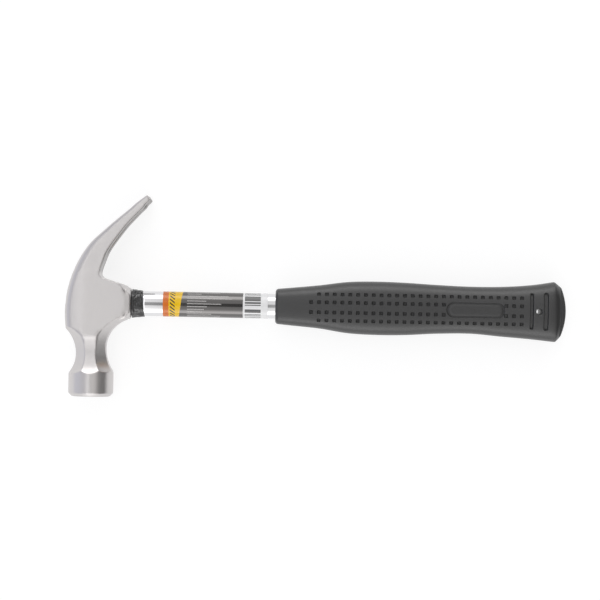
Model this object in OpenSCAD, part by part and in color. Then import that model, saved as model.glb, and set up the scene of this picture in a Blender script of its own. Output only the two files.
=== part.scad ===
// Claw hammer with a tubular steel handle and a moulded rubber grip.
// It lies on its side: +X along the handle to the butt, +Y to the claw,
// -Y to the striking face and +Z up, with the floor at zero.
// Millimetres. The solids are drawn about the eye, where the handle's axis
// crosses the poll's axis, and then set down on the floor.

/* [Head] */
// From the handle's axis to the striking face
face_drop = 60; // [54:0.5:70]
// From the handle's axis to the claw's highest point
claw_rise = 69.4; // [60:0.2:80]
// From the poll's axis back to the crown
crown_reach = 16.8; // [15:0.2:19]
// From the poll's axis forward to the end of the eye boss
boss_reach = 25.6; // [23:0.2:30]
// Thickness across the flat cheeks
cheek_t = 24.4; // [22:0.2:27]
// Radius of the crown's and the claw's back
back_r = 71; // [64:1:80]
// Radius that rounds the crown's long edges
crown_round = 4; // [2:0.5:5]

/* [Poll and neck] */
// Diameter of the round poll
poll_d = 28.8; // [26:0.2:32]
// Chamfer round the striking face
face_chamfer = 2.2; // [1:0.1:3.5]
// Depth of the neck behind the poll's axis
neck_back = 9.7; // [8.5:0.1:11]
// Depth of the neck in front of the poll's axis
neck_front = 9.4; // [8.5:0.1:11]
// Thickness of the neck across the cheek sides
neck_t = 19.2; // [17:0.2:22]
// Distance from the poll's axis to the neck's four slanted faces
neck_corner = 9.2; // [8.6:0.1:10.5]

/* [Boss and eye] */
// Steel round the eye at the turned stub of the boss
stub_wall = 2.3; // [1.8:0.1:3.2]
// Length of the turned stub
stub_len = 2.1; // [0.8:0.1:3.5]
// Slope of the boss's sides towards the stub
boss_slope = 17; // [12:1:22]
// How far the eye widens at the crown, where the handle is spread
eye_flare = 1.2; // [0.6:0.1:1.8]
// Length of the spread part of the eye
eye_flare_len = 18; // [10:1:24]

/* [Claw] */
// From the poll's axis forward to the claw's root
claw_root = 4.7; // [3:0.1:7]
// Radius of the claw's inside above its root
claw_in_r = 28; // [24:1:34]
// Fillet between the claw and the boss
root_fillet = 4.4; // [3:0.2:6]
// Width across both tines at their ends
claw_w = 28.8; // [26:0.2:32]
// Thickness of a tine at its end
tip_t = 4.1; // [2.5:0.1:5]
// Rounding of a tine's end
tip_nose = 1.2; // [0.4:0.1:1.2]
// Height of the slot's closed end above the handle's axis
slot_foot = 26; // [24:0.5:34]
// Width of the slot at its closed end
slot_foot_w = 1.6; // [1:0.1:2.4]
// Width of the slot between the tines' ends
slot_mouth_w = 9.4; // [7:0.2:12]
// Bevel along the slot on the claw's inside
slot_bevel = 2.4; // [1:0.2:3]

/* [Tube] */
// Diameter of the handle's tube
tube_d = 16; // [14.6:0.1:17]
// Wall of the tube
tube_wall = 1.2; // [0.8:0.1:1.8]
// How far the tube is drawn in for the eye
neck_draw = 1.1; // [0.6:0.1:1.6]
// Depth of the locking plug in the tube's spread end
plug_len = 14; // [8:1:16]

/* [Sleeve and collar] */
// Wall of the sleeve in the eye
sleeve_wall = 0.9; // [0.6:0.1:1.4]
// Step from the stub down to the collar
collar_step = 0.7; // [0.3:0.1:1.4]
// Wall of the collar at its small end, over the full tube
collar_end_wall = 0.5; // [0.3:0.1:1]
// Length of the collar that shows
collar_len = 7.6; // [5:0.2:11]
// Slant of the collar's small end
collar_slant = 3; // [0:0.5:6]

/* [Label] */
// From the poll's axis to the start of the label
label_start = 45.5; // [44:0.5:52]
// Length of the label along the tube
label_len = 67; // [50:1:70]
// Thickness of the label
label_t = 0.12; // [0.08:0.01:0.3]

/* [Grip] */
// Bare tube between the label and the front of the grip
bare_len = 4.8; // [1:0.2:12]
// Length of the grip
grip_len = 186; // [160:1:200]
// Height of the grip at its butt
butt_h = 38.8; // [36:0.2:42]
// Thickness of the grip at its butt
butt_t = 28.8; // [27:0.2:31]
// Rounding of the grip's front edge
lip_r = 1.8; // [1:0.1:2.6]
// Diameter of the hanging hole
hole_d = 3.8; // [3:0.1:5]
// From the butt's end to the hanging hole
hole_back = 18.2; // [16:0.2:22]
// Rubber between the tube's end and the hanging hole
hole_wall = 5; // [3:0.5:9]
// Depth of the grip's moulded grooves
groove_depth = 1.8; // [1:0.1:2.4]
// Length of the plain sunk panel
panel_len = 36.8; // [24:0.4:40]
// Height of the plain sunk panel
panel_h = 9.6; // [6:0.2:10]
// Depth of the plain sunk panel
panel_depth = 0.7; // [0.4:0.1:1.2]
// Width of a square dimple in the rubber
dimple_w = 2.6; // [1.6:0.1:3.2]
// Depth of a dimple
dimple_depth = 0.8; // [0.4:0.1:1.2]
// Spacing of the dimples along the grip
dimple_pitch = 4.96; // [4:0.02:6]

/* [Hidden] */
$fn = 96;

// Overrun of cuts past the faces that they open
over = 2;
// A size larger than any section of the head
clear = 60;

// Neck: heights of its narrowest places, and the radii of its ground scoops
front_scoop_y = -28.5;
front_scoop_up_r = 18.7;
front_scoop_down_r = 28.7;
back_scoop_y = -33;
back_scoop_up_r = 24;
back_scoop_down_r = 19.3;
side_scoop_y = -31.5;
side_scoop_r = 22;
corner_scoop_y = -32;
corner_back_r = 19;
corner_up_r = 27;
corner_down_r = 17;

// Boss: the turned shoulder's arc, the chamfer of its stub
shoulder_r = 14.2;
shoulder_axis_r = 5.1;
stub_chamfer = 0.6;

// Claw: where its arcs flatten, their flatter radii and its edges
crown_y = -6.2;
back_angle = 47.5;
back_flat_r = 280;
in_flat_r = 220;
tip_round = 1.1;
tine_chamfer = 0.6;
tip_blunt_share = 0.4;
chamfer_run_share = 0.2;
bevel_run = 7.6;
bevel_lead_share = 0.5;
seam_inset = 0.06;
root_depth = 1.5;
claw_steps = 26;
round_steps = 4;

// Sleeve: its crown end lies this far inside the crown
crown_sink = 0.9;
// The drawn neck of the tube ends at this share of the collar
neck_share = 0.4;

// Grip: finish of its butt, its grooves and the squareness of its sections
butt_dome = 3.4;
butt_taper_len = 3.8;
butt_taper_share = 0.81;
butt_flat_share = 0.02;
heel_share = 1 - (butt_dome + butt_taper_len) / grip_len;
heel_slant = 1.7;
heel_run_share = 0.04;
groove_w = 2.7;
groove_len = 22.8;
groove_gap = 4.7;
panel_back = 58.5;
section_power = 2.7;
// Dimples: from the butt to the last of them, the heights of the inner and the
// outer rows, the dimples in an outer row and the gap that the panel leaves
dimple_back = 29.3;
inner_row = 3.2;
outer_row = 8.35;
outer_dimples = 27;
panel_gap = 7;
dimples_behind = 3;
grip_steps = 34;
section_steps = 36;
// Along the grip, then claw side, face side and thickness, as shares of its
// length, of half the butt's height and of half the butt's thickness
grip_shares = [
    [0.00, 0.572, 0.580, 0.750],
    [0.05, 0.619, 0.624, 0.790],
    [0.15, 0.722, 0.706, 0.845],
    [0.25, 0.851, 0.845, 0.890],
    [0.35, 0.881, 0.884, 0.910],
    [0.45, 0.861, 0.866, 0.905],
    [0.55, 0.814, 0.804, 0.880],
    [0.67, 0.778, 0.778, 0.865],
    [0.78, 0.794, 0.856, 0.885],
    [0.88, 0.869, 0.923, 0.935],
    [heel_share, 0.990, 1.000, 1.000],
];

// Where the hammer lies
grip_start = label_start + label_len + bare_len;
grip_end = grip_start + grip_len;
lie_h = max(poll_d, claw_w, butt_t) / 2;
middle_x = (grip_end - crown_reach) / 2;
middle_y = (claw_rise - face_drop) / 2;

// Handle and eye, one round the other
tube_neck_d = tube_d - 2 * neck_draw;
eye_d = tube_neck_d + 2 * sleeve_wall;
stub_d = eye_d + 2 * stub_wall;
collar_d = stub_d - 2 * collar_step;
collar_end_d = tube_d + 2 * collar_end_wall;

// Head: places that follow from the sizes above
back_centre = [back_r - crown_reach, crown_y];
stub_r = stub_d / 2;
fillet_x = claw_root + root_fillet;
seam_y = boss_top(fillet_x) + root_fillet / cos(boss_slope);
in_centre = [claw_root + claw_in_r, seam_y];
back_start = asin((seam_y - back_centre.y) / back_r);
back_end = asin((claw_rise - flat_centre(back_centre, back_r, back_flat_r, back_angle).y) / back_flat_r);
tip_back = arc_point(back_centre, back_r, back_flat_r, back_angle, back_end);
tip_inside = tip_back + tip_t * [cos(back_end), -sin(back_end)];
in_angle = angle_through(tip_inside, in_centre, claw_in_r, in_flat_r);
in_end = asin((tip_inside.y - flat_centre(in_centre, claw_in_r, in_flat_r, in_angle).y) / in_flat_r);
shoulder_x = boss_reach - stub_len - sqrt(pow(shoulder_r, 2) - pow(stub_r - shoulder_axis_r, 2));

// Handle: the tube's neck ends under the collar, and its cone with the collar
swage_start = boss_reach + collar_len * neck_share;
swage_len = collar_len * (1 - neck_share);
flare_start = -crown_reach + eye_flare_len;
flare_r = eye_d / 2 + eye_flare;
mouth_x = -crown_reach + crown_sink;
hole_x = grip_end - hole_back;
tube_end = hole_x - hole_d / 2 - hole_wall;

// Height of the boss's sloping top at a place along the handle
function boss_top(x) = stub_r + (boss_reach - x) * tan(boss_slope);

// A curve of two arcs that share a tangent: round up to an angle, then flatter
function flat_centre(c, r, flat_r, turn) = c + (flat_r - r) * [cos(turn), -sin(turn)];
function arc_point(c, r, flat_r, turn, a) =
    a < turn
        ? c + r * [-cos(a), sin(a)]
        : flat_centre(c, r, flat_r, turn) + flat_r * [-cos(a), sin(a)];
// The turn after which such a curve, from a centre and a radius, meets a point
function angle_through(p, c, r, flat_r) =
    let (q = p - c, w = flat_r - r, k = (q * q + w * w - flat_r * flat_r) / (2 * w))
    acos(k / norm(q)) - atan2(q.y, q.x);
// The angle that lies at a share of the way along such a curve, by its length
function arc_angle(r, flat_r, from, turn, to, share) =
    let (round_l = r * (turn - from), flat_l = flat_r * (to - turn), l = share * (round_l + flat_l))
    l < round_l ? from + l / r : turn + (l - round_l) / flat_r;

function mix(a, b, share) = a + (b - a) * share;
// The eye is widened towards the crown, and the sleeve and the tube follow it
function flare_at(x) = max(0, (flare_start - x) / eye_flare_len) * eye_flare;

// Smooth value of a table's column between its rows
function slope_at(t, i, c) =
    let (a = max(i - 1, 0), b = min(i + 1, len(t) - 1))
    (t[b][c] - t[a][c]) / (t[b][0] - t[a][0]);
function row_at(t, s, i = 0) = i >= len(t) - 2 || s < t[i + 1][0] ? i : row_at(t, s, i + 1);
function smooth(t, s, c) =
    let (i = row_at(t, s), w = t[i + 1][0] - t[i][0], u = (s - t[i][0]) / w)
    t[i][c] * (1 + 2 * u) * (1 - u) * (1 - u)
        + slope_at(t, i, c) * w * u * (1 - u) * (1 - u)
        + t[i + 1][c] * u * u * (3 - 2 * u)
        - slope_at(t, i + 1, c) * w * u * u * (1 - u);

// A solid through rings of as many points each, closed by a fan at each end;
// the rings turn by the right hand about the way they follow each other
module loft(rings) {
    n = len(rings[0]);
    last = len(rings) - 1;
    points = [for (ring = rings) each ring];
    sides = [
        for (i = [0 : last - 1], j = [0 : n - 1])
            let (a = i * n + j, b = i * n + (j + 1) % n)
            each [[a, b + n, b], [a, a + n, b + n]]
    ];
    near = [for (j = [1 : n - 2]) [0, j, j + 1]];
    far = [for (j = [1 : n - 2]) [last * n, last * n + j + 1, last * n + j]];
    polyhedron(points, concat(sides, near, far), convexity = 6);
}

// Turns a profile of radius and length about the handle's axis
module about_handle() {
    rotate([0, 90, 0]) rotate([0, 0, 180]) rotate_extrude() children();
}

// Grinding scoop into the neck: two arcs about its narrowest height, run
// through the head and turned about the poll's axis
module scoop(turn, depth, y, up_r, down_r) {
    rotate([0, -turn, 0]) linear_extrude(2 * clear, center = true) {
        translate([depth + up_r, y]) intersection() {
            circle(up_r);
            translate([-up_r, 0]) square([2 * up_r, up_r]);
        }
        translate([depth + down_r, y]) intersection() {
            circle(down_r);
            translate([-down_r, -down_r]) square([2 * down_r, down_r]);
        }
    }
}

// Side view of the head below the claw: the crown side is left long, and the
// boss has its sloping top and the fillet up to the claw
module cheek_outline() {
    foot_y = corner_scoop_y - neck_corner;
    meet = [fillet_x, seam_y] - root_fillet * [sin(boss_slope), cos(boss_slope)];
    difference() {
        translate([-crown_reach - over, foot_y]) square([crown_reach + boss_reach + over, seam_y - foot_y]);
        difference() {
            polygon([
                [claw_root, boss_top(claw_root)],
                [boss_reach + over, boss_top(boss_reach + over)],
                [boss_reach + over, seam_y + over],
                [claw_root, seam_y + over],
            ]);
            difference() {
                polygon([
                    [claw_root - over, boss_top(claw_root)],
                    [claw_root, boss_top(claw_root)],
                    meet,
                    [fillet_x, seam_y],
                    [claw_root - over, seam_y],
                ]);
                translate([fillet_x, seam_y]) circle(root_fillet);
            }
        }
    }
}

// The crown's back is turned, with its long edges rounded
module crown_turning() {
    half = cheek_t / 2;
    translate(back_centre) rotate_extrude() {
        square([back_r - crown_round, half]);
        mirror([0, 1]) square([back_r - crown_round, half]);
        translate([0, -half + crown_round]) square([back_r, cheek_t - 2 * crown_round]);
        translate([back_r - crown_round, half - crown_round]) circle(crown_round);
        translate([back_r - crown_round, -half + crown_round]) circle(crown_round);
    }
}

module poll() {
    rotate([90, 0, 0]) rotate_extrude() polygon([
        [0, -crown_y],
        [0, face_drop],
        [poll_d / 2 - face_chamfer, face_drop],
        [poll_d / 2, face_drop - face_chamfer],
        [poll_d / 2, -corner_scoop_y],
        [neck_corner, -corner_scoop_y],
        [neck_corner, -crown_y],
    ]);
}

// What turning takes off the boss: a rounded shoulder and the stub's edge
module boss_turning() {
    difference() {
        translate([shoulder_x, -boss_top(shoulder_x) - stub_chamfer, -clear / 2])
            cube([boss_reach, 2 * (boss_top(shoulder_x) + stub_chamfer), clear]);
        about_handle() {
            intersection() {
                translate([shoulder_axis_r, shoulder_x]) circle(shoulder_r);
                square([clear, clear]);
            }
            square([shoulder_axis_r, shoulder_x + shoulder_r - over]);
            polygon([
                [0, 0],
                [stub_r, 0],
                [stub_r, boss_reach - stub_chamfer],
                [stub_r - stub_chamfer, boss_reach],
                [stub_r - stub_chamfer, boss_reach + over],
                [0, boss_reach + over],
            ]);
        }
    }
}

module eye() {
    about_handle() polygon([
        [0, -crown_reach - over],
        [flare_r, -crown_reach - over],
        [flare_r, -crown_reach],
        [eye_d / 2, flare_start],
        [eye_d / 2, boss_reach + over],
        [0, boss_reach + over],
    ]);
}

// One section of the claw, square to its side view, from back to inside,
// drawn in by an inset and sunk below the seam by a drop
function claw_ring(share, inset = 0, drop = 0) =
    let (
        a = arc_angle(back_r, back_flat_r, back_start, back_angle, back_end, share),
        b = arc_angle(claw_in_r, in_flat_r, 0, in_angle, in_end, share),
        out = arc_point(back_centre, back_r, back_flat_r, back_angle, a),
        inside = arc_point(in_centre, claw_in_r, in_flat_r, in_angle, b),
        across = (inside - out) / norm(inside - out),
        slant = across * [cos(a), -sin(a)],
        start = out + across * inset - [0, drop],
        wide = norm(inside - out) - 2 * inset,
        half = mix(cheek_t, claw_w, share) / 2 - inset,
        r = mix(crown_round, tip_round, share),
        c = tine_chamfer * min(1, share / chamfer_run_share),
        side = concat(
            [for (k = [0 : round_steps]) let (t = 90 * k / round_steps)
                [r * (1 - cos(t)) / slant, half - r + r * sin(t)]],
            [[wide - c, half], [wide, half - c]]
        ),
        n = len(side) - 1
    )
    [
        for (p = side) [start.x + across.x * p[0], start.y + across.y * p[0], p[1]],
        for (k = [0 : n])
            let (p = side[n - k])
            [start.x + across.x * p[0], start.y + across.y * p[0], -p[1]],
    ];

// Both tines in one piece, rooted in the cheek
module claw() {
    nose_share = tip_nose / claw_rise;
    loft([
        claw_ring(0, root_depth, root_depth),
        for (i = [0 : claw_steps - 1]) claw_ring(i / claw_steps, i == 0 ? seam_inset : 0),
        for (a = [0 : 30 : 90])
            claw_ring(1 - nose_share * (1 - sin(a)), tip_blunt_share * tip_nose * (1 - cos(a))),
    ]);
}

// Half the slot's width at a height over the handle's axis
function slot_half(y) =
    mix(slot_foot_w, slot_mouth_w, (y - slot_foot) / (claw_rise - slot_foot)) / 2;

// Straight walled slot, cut through the claw along the handle
module slot() {
    foot = slot_foot + slot_foot_w / 2;
    top = claw_rise + over;
    rotate([90, 0, 90]) linear_extrude(2 * clear, center = true) {
        polygon([
            [foot, -slot_half(foot)],
            [top, -slot_half(top)],
            [top, slot_half(top)],
            [foot, slot_half(foot)],
        ]);
        translate([foot, 0]) circle(slot_half(foot));
    }
}

// Three cornered channel that bevels the slot's edges on the claw's inside: it
// comes in from the air at the slot's foot
function bevel_ring(share) =
    let (
        b = arc_angle(claw_in_r, in_flat_r, 0, in_angle, in_end, share),
        p = arc_point(in_centre, claw_in_r, in_flat_r, in_angle, b),
        out = [cos(b), -sin(b)],
        d = slot_bevel * min(1, max(-bevel_lead_share, (p.y - slot_foot) / bevel_run)),
        g = max(slot_half(p.y), 0),
        deep = p - out * (d + g),
        high = p + out * over
    )
    [
        [deep.x, deep.y, 0],
        [high.x, high.y, d + g + over],
        [high.x, high.y, -d - g - over],
    ];

module slot_bevels() {
    loft([for (i = [0 : claw_steps + 1]) bevel_ring(i / claw_steps)]);
}

module head_blank() {
    difference() {
        union() {
            intersection() {
                translate([0, 0, -cheek_t / 2]) linear_extrude(cheek_t) cheek_outline();
                crown_turning();
            }
            poll();
        }
        scoop(0, neck_front, front_scoop_y, front_scoop_up_r, front_scoop_down_r);
        scoop(180, neck_back, back_scoop_y, back_scoop_up_r, back_scoop_down_r);
        for (turn = [90, 270]) scoop(turn, neck_t / 2, side_scoop_y, side_scoop_r, side_scoop_r);
        for (turn = [45, 315]) scoop(turn, neck_corner, corner_scoop_y, corner_up_r, corner_down_r);
        for (turn = [135, 225]) scoop(turn, neck_corner, corner_scoop_y, corner_back_r, corner_back_r);
        boss_turning();
        eye();
    }
}

// Sets a piece that is drawn about the eye down on the floor
module lay_down() {
    translate([-middle_x, -middle_y, lie_h]) children();
}

module head() {
    color("silver") lay_down() {
        head_blank();
        difference() {
            claw();
            slot();
            slot_bevels();
        }
    }
}

// Sleeve in the eye with the tapered collar that shows beside the boss
module eye_sleeve() {
    collar_end = boss_reach + collar_len;
    color("dimgray") lay_down() difference() {
        about_handle() polygon([
            [tube_neck_d / 2 + flare_at(mouth_x), mouth_x],
            [eye_d / 2 + flare_at(mouth_x), mouth_x],
            [eye_d / 2, flare_start],
            [eye_d / 2, boss_reach],
            [collar_d / 2, boss_reach],
            [collar_end_d / 2, collar_end],
            [tube_outer(collar_end), collar_end],
            [tube_neck_d / 2, swage_start],
            [tube_neck_d / 2, flare_start],
        ]);
        translate([collar_end, 0, 0]) rotate([0, 0, collar_slant])
            translate([-collar_d / 2 * tan(collar_slant), -clear / 2, -clear / 2])
                cube([clear, clear, clear]);
    }
}

// Outer radius of the tube from its drawn neck up the swaged cone
function tube_outer(x) =
    mix(tube_neck_d, tube_d, min(1, max(0, (x - swage_start) / swage_len))) / 2;

module handle_tube() {
    swage_end = swage_start + swage_len;
    spread = flare_at(mouth_x);
    color("gainsboro") lay_down() about_handle() polygon([
        [tube_neck_d / 2 + spread - tube_wall, mouth_x],
        [tube_neck_d / 2 + spread, mouth_x],
        [tube_neck_d / 2, flare_start],
        [tube_neck_d / 2, swage_start],
        [tube_d / 2, swage_end],
        [tube_d / 2, tube_end],
        [tube_d / 2 - tube_wall, tube_end],
        [tube_d / 2 - tube_wall, swage_end],
        [tube_neck_d / 2 - tube_wall, swage_start],
        [tube_neck_d / 2 - tube_wall, flare_start],
    ]);
}

// Tapered plug that spreads the tube's end in the eye
module locking_plug() {
    bore = tube_neck_d / 2 - tube_wall;
    color("darkgray") lay_down() about_handle() polygon([
        [0, mouth_x],
        [bore + flare_at(mouth_x), mouth_x],
        [bore + flare_at(mouth_x + plug_len), mouth_x + plug_len],
        [0, mouth_x + plug_len],
    ]);
}

module label() {
    color("orange") lay_down() about_handle()
        translate([tube_d / 2, label_start]) square([label_t, label_len]);
}

// One section of the grip: height to each side, half thickness and lean
function grip_ring(x, up, down, half, lean = 0) = [
    for (k = [0 : section_steps - 1])
        let (
            a = 360 * k / section_steps,
            c = cos(a),
            s = sin(a),
            y = sign(c) * pow(abs(c), 2 / section_power) * (c > 0 ? up : down)
        )
        [x - y * tan(lean), y, sign(s) * pow(abs(s), 2 / section_power) * half]
];
// The grip's own section at a share of its length, drawn in by a margin
function grip_section(share, margin = 0) =
    grip_ring(
        grip_start + share * grip_len,
        smooth(grip_shares, share, 1) * butt_h / 2 - margin,
        smooth(grip_shares, share, 2) * butt_h / 2 - margin,
        smooth(grip_shares, share, 3) * butt_t / 2 - margin,
        heel_slant * max(0, 1 - (heel_share - share) / heel_run_share)
    );

module grip_body() {
    heel = grip_shares[len(grip_shares) - 1];
    front = [
        for (a = [0 : 30 : 60]) grip_section(lip_r * (1 - cos(a)) / grip_len, lip_r * (1 - sin(a))),
    ];
    run = [for (i = [0 : grip_steps]) grip_section(mix(lip_r / grip_len, heel[0], i / grip_steps))];
    dome = [
        for (a = [0 : 15 : 90])
            let (
                wide = butt_taper_share * (a < 90 ? cos(a) : butt_flat_share),
                x = grip_end - butt_dome * pow(cos(a), 2)
            )
            grip_ring(
                x,
                wide * heel[1] * butt_h / 2,
                wide * heel[2] * butt_h / 2,
                wide * heel[3] * butt_t / 2
            )
    ];
    loft(concat(front, run, dome));
}

// A slot with round ends, sunk into both flat sides of the grip
module sunk_slot(x, len, wide, depth, share) {
    top = smooth(grip_shares, share, 3) * butt_t / 2;
    for (flip = [0, 1]) mirror([0, 0, flip]) translate([x, 0, top - depth]) linear_extrude(depth + over) {
        square([len, wide], center = true);
        for (side = [-1, 1]) {
            if (len > wide) translate([side * len / 2, 0]) circle(wide / 2);
            else translate([0, side * wide / 2]) circle(len / 2);
        }
    }
}

// Height of the grip's surface over its middle, at a place on its flat side
function grip_top(x, y) =
    let (
        share = (x - grip_start) / grip_len,
        wide = smooth(grip_shares, share, y > 0 ? 1 : 2) * butt_h / 2,
        half = smooth(grip_shares, share, 3) * butt_t / 2
    )
    half * pow(1 - pow(abs(y) / wide, section_power), 1 / section_power);

// Rows of square dimples in both flat sides; the inner rows start one dimple
// further forward and leave out those that the panel would meet
module dimples() {
    inner = [for (i = [0 : outer_dimples]) if (i < dimples_behind || i >= dimples_behind + panel_gap) i];
    outer = [for (i = [0 : outer_dimples - 1]) i];
    for (row = [[inner_row, inner], [outer_row, outer]], side = [-1, 1], i = row[1], flip = [0, 1]) {
        x = grip_end - dimple_back - i * dimple_pitch;
        y = side * row[0];
        mirror([0, 0, flip]) translate([x, y, grip_top(x, y) - dimple_depth])
            linear_extrude(dimple_depth + over) square(dimple_w, center = true);
    }
}

module grip() {
    color([0.2, 0.2, 0.21]) lay_down() difference() {
        grip_body();
        about_handle() translate([0, grip_start - over]) square([tube_d / 2, tube_end - grip_start + over]);
        translate([hole_x, 0, -clear / 2]) cylinder(h = clear, d = hole_d);
        for (side = [-1, 1]) sunk_slot(
            hole_x + side * groove_gap, groove_w, groove_len - groove_w, groove_depth,
            (hole_x + side * groove_gap - grip_start) / grip_len
        );
        sunk_slot(
            grip_end - panel_back, panel_len - panel_h, panel_h, panel_depth,
            1 - panel_back / grip_len
        );
        dimples();
    }
}

head();
eye_sleeve();
handle_tube();
locking_plug();
label();
grip();
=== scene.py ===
# %% [markdown]
# # A claw hammer on a white table
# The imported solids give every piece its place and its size. This lesson dresses them: the forged
# head gets soft edges and a satin polish, the steel tube a bright chrome, the collar a glossy black
# and the grip its moulded rubber with rows of dimples. Lengths in the comments are millimetres,
# and Blender works in metres.

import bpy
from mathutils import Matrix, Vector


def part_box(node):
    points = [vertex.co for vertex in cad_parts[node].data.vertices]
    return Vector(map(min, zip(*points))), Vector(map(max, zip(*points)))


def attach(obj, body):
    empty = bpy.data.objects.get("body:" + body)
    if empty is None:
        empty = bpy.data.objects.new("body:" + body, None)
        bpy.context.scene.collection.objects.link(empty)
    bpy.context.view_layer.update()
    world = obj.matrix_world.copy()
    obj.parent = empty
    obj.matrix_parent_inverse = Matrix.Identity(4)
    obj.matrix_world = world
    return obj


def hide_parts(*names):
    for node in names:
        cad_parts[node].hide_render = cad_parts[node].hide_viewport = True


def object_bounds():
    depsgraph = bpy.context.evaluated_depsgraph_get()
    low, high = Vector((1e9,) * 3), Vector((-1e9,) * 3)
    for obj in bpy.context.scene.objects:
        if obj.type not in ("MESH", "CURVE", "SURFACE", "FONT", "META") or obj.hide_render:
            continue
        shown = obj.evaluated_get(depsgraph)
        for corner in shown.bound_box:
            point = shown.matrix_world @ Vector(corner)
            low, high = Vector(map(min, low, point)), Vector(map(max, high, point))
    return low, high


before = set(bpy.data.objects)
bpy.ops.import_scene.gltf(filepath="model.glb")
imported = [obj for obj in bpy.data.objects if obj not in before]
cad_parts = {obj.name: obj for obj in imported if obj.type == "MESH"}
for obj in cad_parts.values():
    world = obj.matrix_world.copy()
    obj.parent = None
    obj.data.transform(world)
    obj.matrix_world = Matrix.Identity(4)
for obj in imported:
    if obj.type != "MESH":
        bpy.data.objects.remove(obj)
cad_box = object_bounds()
print("nodes:", sorted(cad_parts))

# %% Tools of the lesson
import math

import bmesh
import bpy
import numpy as np
from mathutils import Matrix, Vector, noise as mathnoise

MM = 0.001
# Points closer than this are one point, in millimetres or in metres
TOUCH = 1e-6
scene = bpy.context.scene
scene.view_settings.view_transform = "Standard"

# %% [markdown]
# ## Places on the hammer
# The maker's drawing is measured from the eye, where the handle's axis crosses the poll's axis:
# u runs along the handle, v towards the claw and w up out of the cheek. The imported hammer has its
# origin in the middle of the floor under it, so one helper turns a place on the drawing into a
# place in the scene.

# %% From the drawing to the scene
CROWN_REACH, FACE_REACH, POLL_R = 16.8, 60.0, 14.4
EYE = Vector((cad_box[0][0] + CROWN_REACH * MM, cad_box[0][1] + FACE_REACH * MM, POLL_R * MM))


def at(u, v, w=0.0):
    """A place on the drawing, in millimetres from the eye, as a place in the scene."""
    return EYE + Vector((u, v, w)) * MM


print("eye at", tuple(round(x, 5) for x in EYE))

# %% [markdown]
# ## The camera
# The photograph looks straight down from about 1.4 m, turned by a degree or so. At that distance
# a frame of 600 pixels takes in 385 mm at the height of the handle's axis, which gives the lens.

# %% Camera
VIEW_U, VIEW_V, VIEW_DISTANCE = 132.95, 4.32, 1400.0
VIEW_WIDTH, VIEW_ROLL = 384.6, 1.17
SENSOR, CLIP_END = 36.0, 50.0
camera_data = bpy.data.cameras.new("camera")
camera_data.sensor_width = SENSOR
camera_data.lens = SENSOR * VIEW_DISTANCE / VIEW_WIDTH
camera_data.clip_end = CLIP_END
camera = bpy.data.objects.new("camera", camera_data)
scene.collection.objects.link(camera)
camera.location = at(VIEW_U, VIEW_V, VIEW_DISTANCE)
camera.rotation_euler = (0.0, 0.0, math.radians(VIEW_ROLL))
scene.camera = camera
print("lens", round(camera_data.lens, 1), "mm")


# %% [markdown]
# ## Node helpers
# The light and every finish are small trees of nodes. A few helpers keep the trees readable: one
# gives a socket its value, one adds a node with its settings, one joins two sockets, one makes a
# gradient from a list of stops, and one does a sum.

# %% Node helpers
def feed(tree, socket, value):
    """Gives a socket its value: another socket to follow, or a number, vector or colour."""
    if isinstance(value, bpy.types.NodeSocket):
        tree.links.new(value, socket)
    else:
        socket.default_value = value


def add(tree, kind, **settings):
    """A new node; a setting named like an input feeds that input, any other sets the node."""
    node = tree.nodes.new(kind)
    for key, value in settings.items():
        name = key.replace("_", " ")
        if name in node.inputs:
            feed(tree, node.inputs[name], value)
        else:
            setattr(node, key, value)
    return node


def join(tree, source, target):
    tree.links.new(source, target)


def ramp(tree, source, stops):
    """A gradient with (place, value) or (place, colour) stops, fed from a socket."""
    node = add(tree, "ShaderNodeValToRGB", Fac=source)
    elements = node.color_ramp.elements
    while len(elements) < len(stops):
        elements.new(1.0)
    for element, (place, value) in zip(elements, stops):
        element.position = place
        element.color = (value, value, value, 1.0) if isinstance(value, float) else (*value, 1.0)
    return node.outputs["Color"]


def maths(tree, operation, *values):
    """One sum on sockets or numbers."""
    node = add(tree, "ShaderNodeMath", operation=operation)
    for socket, value in zip(node.inputs, values):
        feed(tree, socket, value)
    return node.outputs[0]


# %% [markdown]
# ## The table and the light
# A white table fills the view. Its surface glows a little for the camera and for mirrors, so that
# it is plain white there, and keeps a soft trace of the hammer's shadow. The light is a product
# photographer's: two long soft boxes over the claw side and the face side of the hammer, a darker
# strip between them right overhead, where the camera is, and a dark flag at the butt's end that
# draws the crisp dark band down the poll. The boxes end a little above the table, so that a face
# that looks level sideways stays grey and keeps its form. A gradient in the world makes all of it.

# %% Levels of the light, where 1 is white
FLOOR_HALF, FLOOR_GLOW, MIRRORED_GLOW = 3.0, 0.81, 0.80
FLOOR_WHITE, BOUNCED_WHITE = 0.26, 0.8
# Across the handle, from the face side's horizon over the top to the claw side's
BOXES = [
    (0.0, 2.6), (0.04, 2.4), (0.09, 1.68), (0.15, 1.32), (0.35, 1.40), (0.65, 1.44),
    (0.74, 1.28), (0.82, 1.15), (0.88, 1.25), (0.94, 2.4), (1.0, 2.8)]
# Along the handle, from the head's end to the butt's, with a dark flag above the butt
FLAGS = [
    (0.0, (0.56, 0.57, 0.63)), (0.08, (0.56, 0.57, 0.62)), (0.20, (0.48, 0.48, 0.51)),
    (0.30, (0.46, 0.46, 0.48)), (0.36, (0.62, 0.62, 0.63)), (0.42, (1.28, 1.28, 1.28)),
    (0.455, (1.40, 1.39, 1.39)), (0.47, (1.0, 0.99, 0.99)), (0.55, (1.0, 1.0, 0.99)),
    (0.68, (0.74, 0.73, 0.72)), (0.76, (0.40, 0.39, 0.39)), (0.85, (0.17, 0.17, 0.17)),
    (1.0, (0.15, 0.15, 0.15))]
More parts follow.
